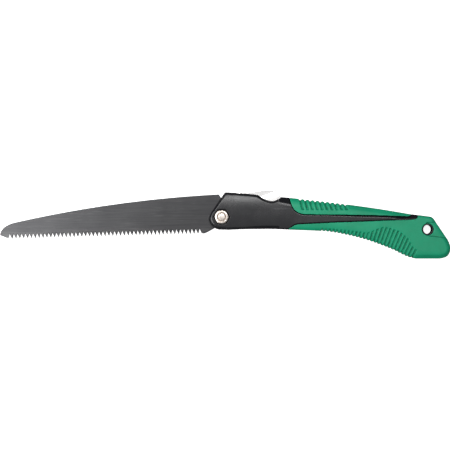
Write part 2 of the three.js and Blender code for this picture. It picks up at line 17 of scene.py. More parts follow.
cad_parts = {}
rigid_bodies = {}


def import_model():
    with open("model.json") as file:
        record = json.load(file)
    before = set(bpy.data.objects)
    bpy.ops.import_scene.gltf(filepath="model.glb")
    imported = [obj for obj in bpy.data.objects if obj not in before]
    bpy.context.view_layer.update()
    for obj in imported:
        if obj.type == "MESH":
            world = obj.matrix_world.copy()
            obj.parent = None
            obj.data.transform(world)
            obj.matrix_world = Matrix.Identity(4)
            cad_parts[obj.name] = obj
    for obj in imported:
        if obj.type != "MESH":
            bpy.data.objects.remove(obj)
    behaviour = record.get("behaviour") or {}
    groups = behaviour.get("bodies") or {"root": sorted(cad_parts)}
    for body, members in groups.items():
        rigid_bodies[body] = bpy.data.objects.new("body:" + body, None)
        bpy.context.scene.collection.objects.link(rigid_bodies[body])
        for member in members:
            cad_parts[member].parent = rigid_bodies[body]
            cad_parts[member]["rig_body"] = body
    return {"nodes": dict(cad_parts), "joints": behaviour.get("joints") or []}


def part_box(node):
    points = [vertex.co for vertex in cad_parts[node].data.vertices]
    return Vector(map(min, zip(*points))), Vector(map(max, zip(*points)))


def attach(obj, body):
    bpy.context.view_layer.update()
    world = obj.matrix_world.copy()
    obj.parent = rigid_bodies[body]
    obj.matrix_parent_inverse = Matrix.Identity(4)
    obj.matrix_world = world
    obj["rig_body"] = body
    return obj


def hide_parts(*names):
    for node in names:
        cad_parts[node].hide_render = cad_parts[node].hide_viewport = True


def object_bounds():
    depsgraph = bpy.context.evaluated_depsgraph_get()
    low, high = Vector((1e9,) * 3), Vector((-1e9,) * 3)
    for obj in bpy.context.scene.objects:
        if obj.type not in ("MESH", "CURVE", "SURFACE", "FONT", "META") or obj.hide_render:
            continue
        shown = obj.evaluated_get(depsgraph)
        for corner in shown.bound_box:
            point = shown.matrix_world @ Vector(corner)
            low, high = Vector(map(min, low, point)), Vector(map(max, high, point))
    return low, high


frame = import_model()
cad_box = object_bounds()
nodes = frame["nodes"]
scene = bpy.context.scene
MM = 0.001
print(len(nodes), "CAD nodes, box in mm:", [round(v / MM, 1) for corner in cad_box for v in corner])

# %% [markdown]
# The saw is nearly flat, so it is seen straight from above, with its length across the view. A long
# lens from two metres keeps the near and far edges almost in line. A short lens would be simpler to
# place, but it would show the handle's sides.

# %% Camera
VIEW_WIDTH = 449.2 * MM
CAMERA_DISTANCE = 2.2
BELOW_MIDDLE = 1.15 * MM

joint_places = {joint["name"]: Vector(joint["pos_m"]) for joint in frame["joints"]}
MIDDLE_PLANE = joint_places["blade_fold"].z
box_middle = (cad_box[0] + cad_box[1]) / 2

camera_data = bpy.data.cameras.new("camera")
camera_data.sensor_width = 36
camera_data.lens = camera_data.sensor_width * CAMERA_DISTANCE / VIEW_WIDTH
camera = bpy.data.objects.new("camera", camera_data)
camera.location = (box_middle.x, box_middle.y - BELOW_MIDDLE, MIDDLE_PLANE + CAMERA_DISTANCE)
scene.collection.objects.link(camera)
scene.camera = camera
scene.view_settings.view_transform = "Standard"
print("lens", round(camera_data.lens), "mm")

# %% [markdown]
# Shader nodes are added the same way every time: make the node, set what it does, then give each
# input a value or a wire. One helper does all three, so that a finish reads as a short list. The
# nodes could be placed by hand in the editor, but a list is easier to read and to change.

# %% Helpers for shader nodes
def add_node(tree, kind, inputs=None, **settings):
    node = tree.nodes.new("ShaderNode" + kind)
    for name, value in settings.items():
        setattr(node, name, value)
    for socket, value in (inputs or {}).items():
        if isinstance(value, bpy.types.NodeSocket):
            tree.links.new(value, node.inputs[socket])
        else:
            node.inputs[socket].default_value = value
    return node


def remap(tree, value, low, high, to_low=0.0, to_high=1.0):
    inputs = {0: value, 1: low, 2: high, 3: to_low, 4: to_high}
    return add_node(tree, "MapRange", inputs).outputs[0]


def multiply(tree, first, second):
    return add_node(tree, "Math", {0: first, 1: second}, operation="MULTIPLY").outputs[0]


def mix_colours(tree, share, first, second):
    inputs = {0: share, 6: first, 7: second}
    return add_node(tree, "Mix", inputs, data_type="RGBA").outputs[2]


def grey(value):
    return (value, value, value, 1)


print("node helpers ready")

# %% [markdown]
# Every finish needs uneven patterns at several sizes: the fine grain of a mould, the long grain of
# rolled steel, cloudy patches of colour. All of them are one noise, read from the piece's own
# Object coordinates and stretched, so one group with a scale and a stretch serves them all. An
# image would do too, but it would need an unwrapped surface and would blur close up.

# %% The grain group
def new_group(name, inputs, output):
    group = bpy.data.node_groups.new(name, "ShaderNodeTree")
    for label, kind, value in inputs:
        socket = group.interface.new_socket(label, in_out="INPUT", socket_type=kind)
        socket.default_value = value
    group.interface.new_socket(output, in_out="OUTPUT", socket_type="NodeSocketFloat")
    return group, group.nodes.new("NodeGroupInput").outputs, group.nodes.new("NodeGroupOutput").inputs


def build_grain():
    labels = [
        ("Scale", "NodeSocketFloat", 1000.0),
        ("Stretch", "NodeSocketVector", (1, 1, 1)),
        ("Detail", "NodeSocketFloat", 3.0),
    ]
    group, given, result = new_group("grain", labels, "Value")
    where = add_node(group, "TexCoord").outputs["Object"]
    turned = add_node(group, "Mapping", {"Vector": where, "Scale": given["Stretch"]}).outputs[0]
    inputs = {"Vector": turned, "Scale": given["Scale"], "Detail": given["Detail"], "Roughness": 0.6}
    noise = add_node(group, "TexNoise", inputs)
    group.links.new(noise.outputs[0], result["Value"])
    return group


GRAIN = build_grain()


def grain(tree, scale, stretch=(1, 1, 1), detail=3.0):
    inputs = {"Scale": scale, "Stretch": stretch, "Detail": detail}
    return add_node(tree, "Group", inputs, node_tree=GRAIN).outputs[0]


print("group", GRAIN.name)

# %% [markdown]
# Hands and bark rub the high edges of a tool first, and dirt stays in its corners. Cycles measures
# how sharp each place of a dense mesh is, as its pointiness, so edge wear is that value between two
# limits, broken up by noise. With the limits the other way round the same group finds corners. The
# same mask also carries painted light: a painted highlight along sharp edges and painted shade in
# hollows. Painting a mask by hand would be the other way, but it would have to be repainted after a
# change.

# %% The edge wear and painted light group
def build_edge_wear_and_light():
    labels = [
        ("From", "NodeSocketFloat", 0.51),
        ("To", "NodeSocketFloat", 0.56),
        ("Breakup", "NodeSocketFloat", 400.0),
    ]
    group, given, result = new_group("edge_wear_and_light", labels, "Mask")
    sharpness = add_node(group, "NewGeometry").outputs["Pointiness"]
    edges = remap(group, sharpness, given["From"], given["To"])
    where = add_node(group, "TexCoord").outputs["Object"]
    noise = add_node(group, "TexNoise", {"Vector": where, "Scale": given["Breakup"], "Detail": 4.0})
    broken = remap(group, noise.outputs[0], 0.35, 0.65, 0.25, 1.0)
    group.links.new(multiply(group, edges, broken), result["Mask"])
    return group


EDGE_WEAR_AND_LIGHT = build_edge_wear_and_light()


def edge_wear_and_light(tree, start, full, breakup):
    inputs = {"From": start, "To": full, "Breakup": breakup}
    return add_node(tree, "Group", inputs, node_tree=EDGE_WEAR_AND_LIGHT).outputs[0]


print("group", EDGE_WEAR_AND_LIGHT.name)

# %% [markdown]
# Scratches are thin, nearly straight and in patches. A noise that is stretched a hundred times one
# way gives thin lines where it crosses one level, and a second, cloudy noise decides where lines
# show at all. Scratches could also be cut into the mesh, but they are thinner than any face.

# %% The scratches group
def build_scratches():
    labels = [
        ("Scale", "NodeSocketFloat", 1500.0),
        ("Stretch", "NodeSocketVector", (0.02, 1, 1)),
        ("Turn", "NodeSocketVector", (0, 0, 0)),
        ("Cover", "NodeSocketFloat", 0.5),
    ]
    group, given, result = new_group("scratches", labels, "Mask")
    where = add_node(group, "TexCoord").outputs["Object"]
    inputs = {"Vector": where, "Rotation": given["Turn"], "Scale": given["Stretch"]}
    turned = add_node(group, "Mapping", inputs).outputs[0]
    lines = add_node(group, "TexNoise", {"Vector": turned, "Scale": given["Scale"], "Detail": 1.0})
    thin = remap(group, lines.outputs[0], 0.62, 0.68)
    cloud = add_node(group, "TexNoise", {"Vector": where, "Scale": 60.0, "Detail": 2.0})
    start = add_node(group, "Math", {0: 1.0, 1: given["Cover"]}, operation="SUBTRACT").outputs[0]
    patches = remap(group, cloud.outputs[0], start, 0.75)
    group.links.new(multiply(group, thin, patches), result["Mask"])
    return group


SCRATCHES = build_scratches()


def scratches(tree, stretch, turn=(0, 0, 0), cover=0.5, scale=1500.0):
    inputs = {"Scale": scale, "Stretch": stretch, "Turn": turn, "Cover": cover}
    return add_node(tree, "Group", inputs, node_tree=SCRATCHES).outputs[0]


print("group", SCRATCHES.name)

# %% [markdown]
# A turned face keeps the fine rings of the lathe's tool. A wave texture of rings about the Z axis
# gives them, once the pattern is centred on the piece's own axis by a Mapping node.

# %% The turned rings group
def build_turned():
    labels = [
        ("Centre", "NodeSocketVector", (0, 0, 0)),
        ("Rings", "NodeSocketFloat", 900.0),
    ]
    group, given, result = new_group("turned_rings", labels, "Height")
    where = add_node(group, "TexCoord").outputs["Object"]
    minus = {0: where, 1: given["Centre"]}
    centred = add_node(group, "VectorMath", minus, operation="SUBTRACT").outputs[0]
    inputs = {"Vector": centred, "Scale": given["Rings"], "Distortion": 1.5, "Detail": 2.0}
    waves = add_node(group, "TexWave", inputs, wave_type="RINGS", rings_direction="Z")
    group.links.new(waves.outputs["Fac"], result["Height"])
    return group


TURNED = build_turned()


def turned_rings(tree, centre, rings=900.0):
    return add_node(tree, "Group", {"Centre": centre, "Rings": rings}, node_tree=TURNED).outputs[0]


print("group", TURNED.name)

# %% [markdown]
# Each finish starts the same way: a Principled shader with the values that are the same all over the
# surface, then wires for those that vary. Bump takes its height in metres here, so the depth of a
# grain is a real depth.

# %% Helpers for finishes
def new_finish(name, **constants):
    finish = bpy.data.materials.new(name)
    finish.use_nodes = True
    tree = finish.node_tree
    shader = tree.nodes["Principled BSDF"]
    for socket, value in constants.items():
        shader.inputs[socket.replace("_", " ")].default_value = value
    return finish, tree, shader


def wire(tree, shader, **sources):
    for socket, source in sources.items():
        tree.links.new(source, shader.inputs[socket.replace("_", " ")])


def bump(tree, height, depth, strength):
    inputs = {"Height": height, "Distance": depth, "Strength": strength}
    return add_node(tree, "Bump", inputs).outputs[0]


print("finish helpers ready")

# %% [markdown]
# The green grip is soft thermoplastic rubber moulded over the shells. It is matt, with the fine grain
# of the mould, a little uneven in colour and paler where hands rub the ribs. The grooves are darker,
# partly from dirt that stays there and partly as painted shade in the hollows. Its soft sheen is a
# constant on the shader.

# %% Green rubber
def green_rubber():
    soft = {"Sheen_Weight": 0.02, "Sheen_Roughness": 0.5, "Specular_IOR_Level": 0.33}
    finish, tree, shader = new_finish("green_rubber", **soft)
    clouds = remap(tree, grain(tree, 55.0, detail=4.0), 0.35, 0.65)
    body = mix_colours(tree, clouds, (0.002, 0.275, 0.137, 1), (0.003, 0.320, 0.162, 1))
    fine = grain(tree, 2600.0, detail=5.0)
    speckle = remap(tree, fine, 0.3, 0.7, 0.0, 0.25)
    speckled = mix_colours(tree, speckle, body, (0.001, 0.205, 0.102, 1))
    # darker grooves: dirt, and painted shade in the hollows
    dirt_and_shade = edge_wear_and_light(tree, 0.495, 0.470, 250.0)
    dirty_and_shaded = mix_colours(tree, multiply(tree, dirt_and_shade, 0.9), speckled, (0.001, 0.090, 0.045, 1))
    rubbed = edge_wear_and_light(tree, 0.515, 0.56, 500.0)
    colour = mix_colours(tree, multiply(tree, rubbed, 0.4), dirty_and_shaded, (0.05, 0.44, 0.28, 1))
    rough = remap(tree, grain(tree, 180.0), 0.3, 0.7, 0.42, 0.56)
    skin = bump(tree, fine, 0.10 * MM, 0.35)
    wire(tree, shader, Base_Color=colour, Roughness=rough, Normal=skin)
    return finish


GREEN = green_rubber()
print("finish", GREEN.name)

# %% [markdown]
# The shells are glass-filled nylon: nearly black, satin, with the dull spark texture of the mould.
# Use leaves pale scuffs along its edges and a few fine scratches, and polishes some patches. The pale
# edges are also a painted highlight, such as the crisp line where the shoulder's slope starts.

# %% Black nylon
def black_nylon():
    finish, tree, shader = new_finish("black_nylon", Specular_IOR_Level=0.42)
    clouds = remap(tree, grain(tree, 40.0, detail=4.0), 0.35, 0.65)
    body = mix_colours(tree, clouds, (0.0050, 0.0053, 0.0072, 1), (0.0080, 0.0080, 0.0102, 1))
    # pale sharp edges: scuffs, and a painted highlight along them
    scuffs_and_highlight = multiply(tree, edge_wear_and_light(tree, 0.52, 0.60, 700.0), 0.5)
    worn_and_highlighted = mix_colours(tree, scuffs_and_highlight, body, (0.06, 0.06, 0.065, 1))
    marks = scratches(tree, (0.04, 1, 1), (0, 0, 0.35), cover=0.42, scale=900.0)
    colour = mix_colours(tree, multiply(tree, marks, 0.35), worn_and_highlighted, (0.12, 0.12, 0.125, 1))
    rough = remap(tree, grain(tree, 90.0, detail=4.0), 0.3, 0.7, 0.22, 0.30)
    spark = grain(tree, 3200.0, detail=4.0)
    skin = bump(tree, spark, 0.06 * MM, 0.3)
    wire(tree, shader, Base_Color=colour, Roughness=rough, Normal=skin)
    return finish


NYLON = black_nylon()
print("finish", NYLON.name)

# %% [markdown]
# The blade is ground, then given a dark grey slick coating. The grinding still shows through as a
# fine grain along the blade, sap leaves cloudy patches, and wood has drawn bright scratches along
# the stroke. Near the teeth the coating is rubbed thin, so the metal shows more: that mask runs with
# the height above the tooth line, which slants, so it is a plane turned by a Mapping node.

# %% Coated blade steel
TOOTH_LINE_SLOPE = 0.0275
TOOTH_LINE_HEIGHT = -16.7 * MM
RUBBED_HEIGHT, UNRUBBED_HEIGHT = 1 * MM, 9 * MM


def coated_steel():
    finish, tree, shader = new_finish("coated_steel", Metallic=0.85)
    clouds = remap(tree, grain(tree, 28.0, detail=5.0), 0.35, 0.65)
    body = mix_colours(tree, clouds, (0.029, 0.029, 0.031, 1), (0.037, 0.037, 0.039, 1))
    long_grain = grain(tree, 1400.0, (0.02, 1, 1), detail=4.0)
    lined = mix_colours(tree, remap(tree, long_grain, 0.35, 0.7, 0.0, 0.35), body, grey(0.062))
    marks = scratches(tree, (0.015, 1, 1), (0, 0, 0.03), cover=0.52)
    scored = mix_colours(tree, multiply(tree, marks, 0.5), lined, grey(0.12))
    where = add_node(tree, "TexCoord").outputs["Object"]
    level = {
        "Vector": where,
        "Location": (0, -TOOTH_LINE_HEIGHT, 0),
        "Rotation": (0, 0, -TOOTH_LINE_SLOPE),
    }
    turned = add_node(tree, "Mapping", level).outputs[0]
    height = add_node(tree, "SeparateXYZ", {0: turned}).outputs[1]
    near_teeth = remap(tree, height, UNRUBBED_HEIGHT, RUBBED_HEIGHT, 0.0, 0.45)
    rubbed = multiply(tree, near_teeth, remap(tree, grain(tree, 220.0, (0.3, 1, 1)), 0.35, 0.65))
    colour = mix_colours(tree, rubbed, scored, grey(0.095))
    rough = remap(tree, grain(tree, 700.0, (0.05, 1, 1), detail=4.0), 0.3, 0.7, 0.32, 0.42)
    skin = bump(tree, long_grain, 0.02 * MM, 0.35)
    wire(tree, shader, Base_Color=colour, Roughness=rough, Normal=skin)
    return finish


COATED = coated_steel()
print("finish", COATED.name)

# %% [markdown]
# The teeth are ground after coating, so their facets are bare bright steel, with short wheel marks
# across each facet and a straw tint where the points were hardened.

# %% Ground steel
def ground_steel():
    finish, tree, shader = new_finish("ground_steel", Metallic=1.0)
    wheel = grain(tree, 2600.0, (1, 0.08, 1), detail=3.0)
    tone = remap(tree, grain(tree, 330.0), 0.4, 0.6, 0.03, 0.30)
    body = mix_colours(tree, remap(tree, wheel, 0.35, 0.65), grey(0.05), tone)
    straw = remap(tree, grain(tree, 300.0, detail=3.0), 0.45, 0.7, 0.0, 0.4)
    colour = mix_colours(tree, straw, body, (0.20, 0.16, 0.12, 1))
    rough = remap(tree, wheel, 0.3, 0.7, 0.24, 0.40)
    skin = bump(tree, wheel, 0.01 * MM, 0.4)
    wire(tree, shader, Base_Color=colour, Roughness=rough, Normal=skin)
    return finish


GROUND = ground_steel()
print("finish", GROUND.name)

# %% [markdown]
# The lock lever is polished until it reflects almost all light. Thumbs leave dull smears on it and
# fine hairlines along it, which show only in its gloss.

# %% Polished steel
def polished_steel():
    finish, tree, shader = new_finish("polished_steel", Metallic=1.0)
    smear = remap(tree, grain(tree, 120.0, detail=4.0), 0.45, 0.75)
    body = mix_colours(tree, multiply(tree, smear, 0.3), (0.93, 0.92, 0.91, 1), (0.80, 0.79, 0.77, 1))
    hair = scratches(tree, (0.01, 1, 1), (0, 0, -0.04), cover=0.6, scale=2500.0)
    colour = mix_colours(tree, multiply(tree, hair, 0.3), body, grey(0.65))
    rough = remap(tree, grain(tree, 160.0, detail=4.0), 0.35, 0.75, 0.10, 0.28)
    skin = bump(tree, hair, 0.01 * MM, 0.25)
    wire(tree, shader, Base_Color=colour, Roughness=rough, Normal=skin)
    return finish


POLISHED = polished_steel()
print("finish", POLISHED.name)

# %% [markdown]
# The bolt, nut, pins and screws are turned or pressed, then nickel plated: bright and a little warm,
# with tool rings that the plating hasn't hidden. The rings are centred on each piece's own axis, so
# the finish is a function of the axis, called once for each place.

# %% Plated steel
def plated_steel(name, centre):
    finish, tree, shader = new_finish(name, Metallic=1.0)
    rings = turned_rings(tree, centre)
    tarnish = remap(tree, grain(tree, 260.0, detail=4.0), 0.45, 0.75)
    body = mix_colours(tree, tarnish, (0.70, 0.64, 0.59, 1), (0.50, 0.44, 0.39, 1))
    colour = mix_colours(tree, multiply(tree, rings, 0.18), body, (0.42, 0.38, 0.34, 1))
    rough = remap(tree, grain(tree, 900.0), 0.3, 0.7, 0.18, 0.32)
    skin = bump(tree, rings, 0.008 * MM, 0.35)
    wire(tree, shader, Base_Color=colour, Roughness=rough, Normal=skin)
    return finish


def axis_of(node):
    low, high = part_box(node)
    return ((low.x + high.x) / 2, (low.y + high.y) / 2, 0)


PIVOT_PLATED = plated_steel("pivot_plated", (0, 0, 0))
print("finish", PIVOT_PLATED.name)

# %% [markdown]
# Inside the bolster the blade runs between two plain rolled steel plates. Rolling leaves a long
# grain, oil darkens it in patches, and the blade has drawn arcs on it, which read as fine scratches.

# %% Liner steel
def rolled_steel():
    finish, tree, shader = new_finish("rolled_steel", Metallic=1.0)
    long_grain = grain(tree, 900.0, (0.03, 1, 1), detail=4.0)
    body = mix_colours(tree, remap(tree, long_grain, 0.3, 0.7), grey(0.36), grey(0.52))
    oil = remap(tree, grain(tree, 70.0, detail=4.0), 0.5, 0.7, 0.0, 0.6)
    oily = mix_colours(tree, oil, body, (0.22, 0.20, 0.17, 1))
    marks = scratches(tree, (0.03, 1, 1), (0, 0, 0.8), cover=0.5)
    colour = mix_colours(tree, multiply(tree, marks, 0.5), oily, grey(0.7))
    rough = remap(tree, long_grain, 0.3, 0.7, 0.30, 0.48)
    skin = bump(tree, long_grain, 0.02 * MM, 0.3)
    wire(tree, shader, Base_Color=colour, Roughness=rough, Normal=skin)
    return finish


ROLLED = rolled_steel()
print("finish", ROLLED.name)

# %% [markdown]
# The thrust washers and the sleeve are turned bronze, bright where the tang rubs and brown where
# oil and air have reached it.

# %% Bronze
def turned_bronze():
    finish, tree, shader = new_finish("turned_bronze", Metallic=1.0)
    rings = turned_rings(tree, (0, 0, 0), 700.0)
    brown = remap(tree, grain(tree, 240.0, detail=4.0), 0.4, 0.7)
    body = mix_colours(tree, brown, (0.66, 0.45, 0.20, 1), (0.30, 0.17, 0.08, 1))
    colour = mix_colours(tree, multiply(tree, rings, 0.25), body, (0.42, 0.27, 0.12, 1))
    rough = remap(tree, brown, 0.0, 1.0, 0.28, 0.50)
    skin = bump(tree, rings, 0.01 * MM, 0.4)
    wire(tree, shader, Base_Color=colour, Roughness=rough, Normal=skin)
    return finish


BRONZE = turned_bronze()
print("finish", BRONZE.name)

# %% [markdown]
# The leaf spring is hardened and tempered until its skin turns blue, unevenly, with straw and purple
# where the heat was less even.

# %% Blued spring steel
def blued_steel():
    finish, tree, shader = new_finish("blued_steel", Metallic=1.0)
    heat = remap(tree, grain(tree, 130.0, detail=3.0), 0.35, 0.65)
    body = mix_colours(tree, heat, (0.06, 0.09, 0.22, 1), (0.14, 0.09, 0.16, 1))
    fine = grain(tree, 1600.0, (0.05, 1, 1), detail=3.0)
    colour = mix_colours(tree, remap(tree, fine, 0.5, 0.8, 0.0, 0.4), body, (0.30, 0.30, 0.34, 1))
    rough = remap(tree, fine, 0.3, 0.7, 0.22, 0.38)
    skin = bump(tree, fine, 0.01 * MM, 0.3)
    wire(tree, shader, Base_Color=colour, Roughness=rough, Normal=skin)
    return finish


BLUED = blued_steel()
print("finish", BLUED.name)

# %% [markdown]
# A CAD node's mesh is loose triangles. A copy that is worked on is merged first, and its flat
# triangles are dissolved into whole faces, so that a bevel runs cleanly along each edge. Every new
# piece then ends the same way: a mesh whose place is in its points, riding on the body of the node
# that it stands for.

# %% Helpers for pieces
SAME_POINT = 0.002 * MM
SAME_FACE = math.radians(0.7)


def merged_copy(node):
    shape = bmesh.new()
    shape.from_mesh(nodes[node].data)
    bmesh.ops.remove_doubles(shape, verts=shape.verts, dist=SAME_POINT)
    bmesh.ops.dissolve_limit(shape, angle_limit=SAME_FACE, verts=shape.verts, edges=shape.edges)
    return shape


def make_piece(name, mesh, node, finishes, sharp=35):
    piece = bpy.data.objects.new(name, mesh)
    scene.collection.objects.link(piece)
    for finish in finishes:
        mesh.materials.append(finish)
    mesh.shade_smooth()
    mesh.set_sharp_from_angle(angle=math.radians(sharp))
    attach(piece, nodes[node]["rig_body"])
    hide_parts(node)
    triangles = sum(len(face.vertices) - 2 for face in mesh.polygons)
    print(name, "for", node, "-", triangles, "triangles")


def to_mesh(shape, name):
    mesh = bpy.data.meshes.new(name)
    shape.to_mesh(mesh)
    shape.free()
    return mesh


def bevel_edges(shape, edges, width, segments):
    settings = {"offset": width, "segments": segments, "profile": 0.5, "material": -1}
    return bmesh.ops.bevel(shape, geom=edges, affect="EDGES", clamp_overlap=True, **settings)


def sharp_edges(shape, degrees=30):
    limit = math.radians(degrees)
    return [edge for edge in shape.edges if edge.is_manifold and edge.calc_face_angle(0) > limit]


print("piece helpers ready")

# %% [markdown]
# The grips and shells come out of a mould, so no edge on them is sharp and their skins flow. A copy
# of the CAD solid is remeshed into even small faces and relaxed, which rounds every edge a little
# and gives enough points to press ribs and hollows into. Bevels would do for the edges alone, but
# they leave large flat faces that can't be pressed. The points are then worked on in millimetres,
# with the middle plane at zero.

# %% Moulded skins
VOXEL = 0.42 * MM
RELAX_PASSES = 4
SIDES = ("near", "far")


def moulded(node, voxel=VOXEL):
    rough_mesh = to_mesh(merged_copy(node), node + "_rough")
    rough_piece = bpy.data.objects.new(node + "_rough", rough_mesh)
    scene.collection.objects.link(rough_piece)
    remesh = rough_piece.modifiers.new("remesh", "REMESH")
    remesh.mode = "VOXEL"
    remesh.voxel_size = voxel
    relax = rough_piece.modifiers.new("relax", "SMOOTH")
    relax.iterations = RELAX_PASSES
    graph = bpy.context.evaluated_depsgraph_get()
    mesh = bpy.data.meshes.new_from_object(rough_piece.evaluated_get(graph))
    bpy.data.objects.remove(rough_piece)
    mesh.name = node + "_skin"
    return mesh


def read_places(mesh):
    places = np.empty(len(mesh.vertices) * 3)
    mesh.vertices.foreach_get("co", places)
    places = places.reshape(-1, 3) / MM
    places[:, 2] -= MIDDLE_PLANE / MM
    return places


def write_places(mesh, places):
    places[:, 2] += MIDDLE_PLANE / MM
    mesh.vertices.foreach_set("co", (places * MM).ravel())
    mesh.update()


def ease(low, high, value):
    share = np.clip((value - low) / (high - low), 0, 1)
    return share * share * (3 - 2 * share)


print("voxel", round(VOXEL / MM, 2), "mm")

# %% [markdown]
# Two moves shape a moulded skin. The first presses the outer face towards the middle plane, in
# proportion to its height above the layer underneath, so inner walls stay where they are and nothing
# folds over. The second draws the outer edge inwards, less and less with depth, so a rib also shows
# in the outline. How far a point is from the edge is measured in two ways: square to one long edge,
# which suits grooves and rolls, or to the nearest side wall, which suits a rim round a whole outline.

# %% Pressing and drawing in
STATION = 1.2
UPRIGHT = 0.5


def falling(distance, reach, curve=1.0):
    return np.clip(1 - distance / reach, 0, 1) ** curve


def press(places, drop, inner, outer):
    height = np.abs(places[:, 2])
    share = np.clip((height - inner) / (outer - inner), 0, 1)
    places[:, 2] -= np.sign(places[:, 2]) * drop * share


def draw_in(places, inwards, depth, inside, wall):
    places[:, :2] += inwards * (depth * falling(inside, wall))[:, None]


def depth_inside(along, across):
    station = ((along - along.min()) / STATION).astype(int)
    edge = np.full(station.max() + 1, np.inf)
    np.minimum.at(edge, station, across)
    known = np.isfinite(edge)
    centres = along.min() + (np.arange(len(edge)) + 0.5) * STATION
    return across - np.interp(along, centres[known], edge[known])


def furrows(position, first, pitch, count, half_width):
    nearest = np.clip(np.round((position - first) / pitch), 0, count - 1)
    distance = np.abs(position - (first + nearest * pitch))
    return np.where(distance < half_width, np.cos(distance / half_width * math.pi / 2) ** 2, 0)


def from_walls(mesh, places, low, high, kept):
    normals = np.empty(len(mesh.vertices) * 3)
    mesh.vertices.foreach_get("normal", normals)
    height = np.abs(places[:, 2])
    wall = (np.abs(normals[2::3]) < UPRIGHT) & (height > low) & (height < high)
    found = np.flatnonzero(wall & kept)
    tree = KDTree(len(found))
    for order, index in enumerate(found):
        tree.insert((places[index, 0], places[index, 1], 0), order)
    tree.balance()
    return np.array([tree.find((x, y, 0))[2] for x, y in places[:, :2]])


print("skin tools ready")

# %% [markdown]
# The upper grip has ten thumb grooves. They cross its top edge, so the edge is scalloped, and run
# down the side with a slight lean, ending on one line above the grip's lower border. The face also
# rolls over towards the top edge. A groove and the roll together stay above the shell underneath.

# %% Upper grips
GRIP_FACE = 10.5
CORE_FACE = 6.65
GRIP_WALL = 2.0
THUMB_FIRST, THUMB_PITCH, THUMB_COUNT = 78.2, 4.85, 10
THUMB_LEAN = math.radians(14)
THUMB_TOP, THUMB_FOOT, THUMB_FADE = 17.6, 6.2, 1.6
THUMB_DEPTH, THUMB_HALF_WIDTH = 1.5, 0.43 * THUMB_PITCH
THUMB_ROLL, THUMB_ROLL_REACH = 2.9, 9.0
DEEPEST = 3.4


def upper_grip(word):
    node = "upper_grip_" + word
    mesh = moulded(node)
    places = read_places(mesh)
    x, y = places[:, 0], places[:, 1]
    leaned = x - (THUMB_TOP - y) * math.tan(THUMB_LEAN)
    inside = depth_inside(x, -y)
    groove = furrows(leaned, THUMB_FIRST, THUMB_PITCH, THUMB_COUNT, THUMB_HALF_WIDTH)
    depth = THUMB_DEPTH * groove * ease(THUMB_FOOT, THUMB_FOOT + THUMB_FADE, y)
    roll = THUMB_ROLL * falling(inside, THUMB_ROLL_REACH, 2)
    press(places, np.minimum(depth + roll, DEEPEST), CORE_FACE, GRIP_FACE)
    draw_in(places, np.array([0.0, -1.0]), depth, inside, GRIP_WALL)
    write_places(mesh, places)
    make_piece("upper_grip_skin_" + word, mesh, node, [GREEN], sharp=180)


for word in SIDES:
    upper_grip(word)

# %% [markdown]
# The lower grip has twenty-six finger ribs. They stand square to its hollow underside, so they fan
# out from one centre far below the saw, and their length follows the palm: short in front, long over
# the swell, short again at the butt. The face rolls over towards the underside, and a wide rounded
# rim follows the outline round the butt, but not round the hang hole.

# %% Lower grips
FINGER_CENTRE = np.array([77.5, -252.7])
FINGER_RADIUS = 239.0
FINGER_FIRST, FINGER_PITCH, FINGER_COUNT = 5.4, 0.894, 26
FINGER_DEPTH, FINGER_HALF_WIDTH = 1.3, 0.42 * FINGER_PITCH
FINGER_ROLL, FINGER_ROLL_REACH = 2.0, 10.0
RIB_ANGLES = [4, 10, 13.4, 15.8, 17.2, 18.6, 20.2, 22.7, 25.1, 27.5]
RIB_HEIGHTS = [2.5, 4.0, 5.7, 6.8, 11.4, 16.8, 19.0, 19.5, 16.5, 9.5]
RIB_FADE_BELOW, RIB_FADE_ABOVE = 1.2, 0.4
BUTT_FADE = (188.0, 200.0)
BUTT_WALL = (7.5, 9.0)
UNDERSIDE, HOLE_END = 1.0, 213.0
BUTT_RIM_WIDTH, BUTT_RIM_DROP, BUTT_RIM_CURVE = 4.0, 1.7, 1.5


def lower_grip(word):
    node = "lower_grip_" + word
    mesh = moulded(node)
    places = read_places(mesh)
    spread = places[:, :2] - FINGER_CENTRE
    radius = np.hypot(spread[:, 0], spread[:, 1])
    angle = np.degrees(np.arctan2(spread[:, 0], spread[:, 1]))
    inside = depth_inside(np.radians(angle) * FINGER_RADIUS, radius)
    groove = furrows(angle, FINGER_FIRST, FINGER_PITCH, FINGER_COUNT, FINGER_HALF_WIDTH)
    height = np.interp(angle, RIB_ANGLES, RIB_HEIGHTS)
    depth = FINGER_DEPTH * groove * (1 - ease(height - RIB_FADE_BELOW, height + RIB_FADE_ABOVE, inside))
    roll = FINGER_ROLL * falling(inside, FINGER_ROLL_REACH, 2)
    outline = (inside < UNDERSIDE) | (places[:, 0] > HOLE_END)
    edge = from_walls(mesh, places, *BUTT_WALL, outline)
    butt = ease(*BUTT_FADE, places[:, 0])
    rim = BUTT_RIM_DROP * butt * falling(edge, BUTT_RIM_WIDTH, BUTT_RIM_CURVE)
    press(places, np.minimum(depth + roll + rim, DEEPEST), CORE_FACE, GRIP_FACE)
    draw_in(places, spread / radius[:, None], depth, inside, GRIP_WALL)
    write_places(mesh, places)
    make_piece("lower_grip_skin_" + word, mesh, node, [GREEN], sharp=180)


for word in SIDES:
    lower_grip(word)

# %% [markdown]
# The shells' bare front is crowned across its height and falls away round the nose. Behind the thumb
# scoop its top corner slopes down to a narrow edge, with a crisp line where the slope starts. A
# rounded rim follows the whole outline: wide on the bolster, wider along its underside, and narrow on
# the strip between the grips, where it widens again along the shaded upper edge. Near its far end
# the strip slopes down towards that edge instead. A second, small rim goes round the nut's pocket.

